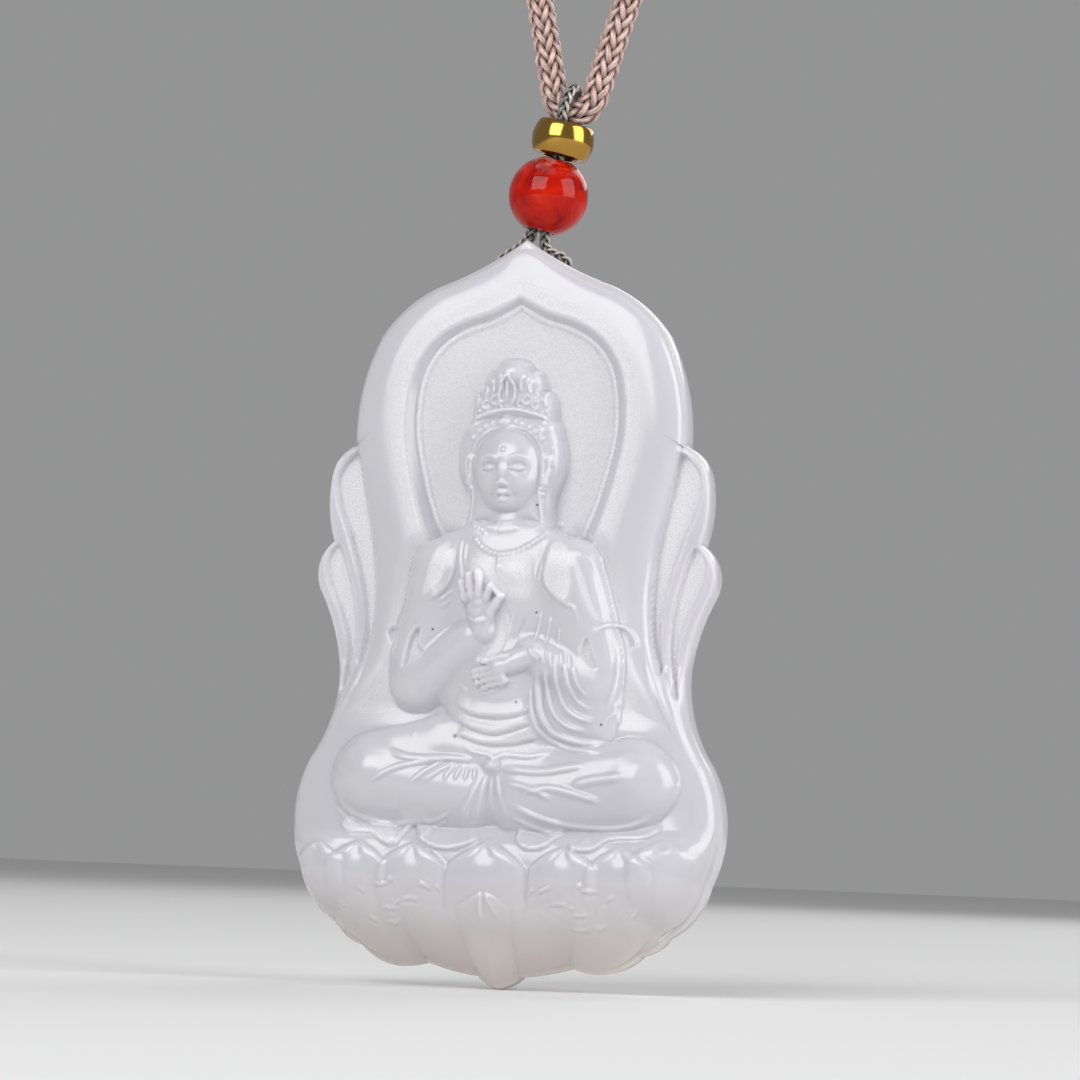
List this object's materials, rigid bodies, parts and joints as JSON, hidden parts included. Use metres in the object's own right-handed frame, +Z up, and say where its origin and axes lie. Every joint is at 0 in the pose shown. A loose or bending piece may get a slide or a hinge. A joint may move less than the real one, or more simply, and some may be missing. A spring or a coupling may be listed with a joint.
{
  "type": "jade guanyin pendant on a neck cord",
  "caption": "A carved translucent jade pendant of a seated guanyin on a lotus, with a red agate bead and a gold bead on a braided neck cord.",
  "frame": {"origin": "where the inside of the neck loop bears on the nape of the neck", "axes": "+X to the right seen from the front, -Y towards the viewer and the carved front, +Z up"},
  "size_m": [0.1306, 0.0106, 0.3547],
  "materials": {
    "jade": "polished, milky and translucent, with matte fields",
    "thin_cord": "fine dark braid with pale threads",
    "red_agate": "polished, clouded orange red",
    "gold": "polished gold",
    "braid": "satin pinkish beige braid"
  },
  "bodies": {
    "necklace": {"neck_cord": "braid", "nape_sleeve": "braid", "gold_bead": "gold", "red_bead": "red_agate", "hanging_loop": "thin_cord"},
    "pendant": {"pendant": "jade"}
  },
  "joints": [
    {"name": "pendant_swing", "type": "hinge", "parent": "necklace", "child": "pendant", "pos_m": [0, 0.00175, -0.2887], "axis": [1, 0, 0], "range_deg": [-8, 60]}
  ]
}
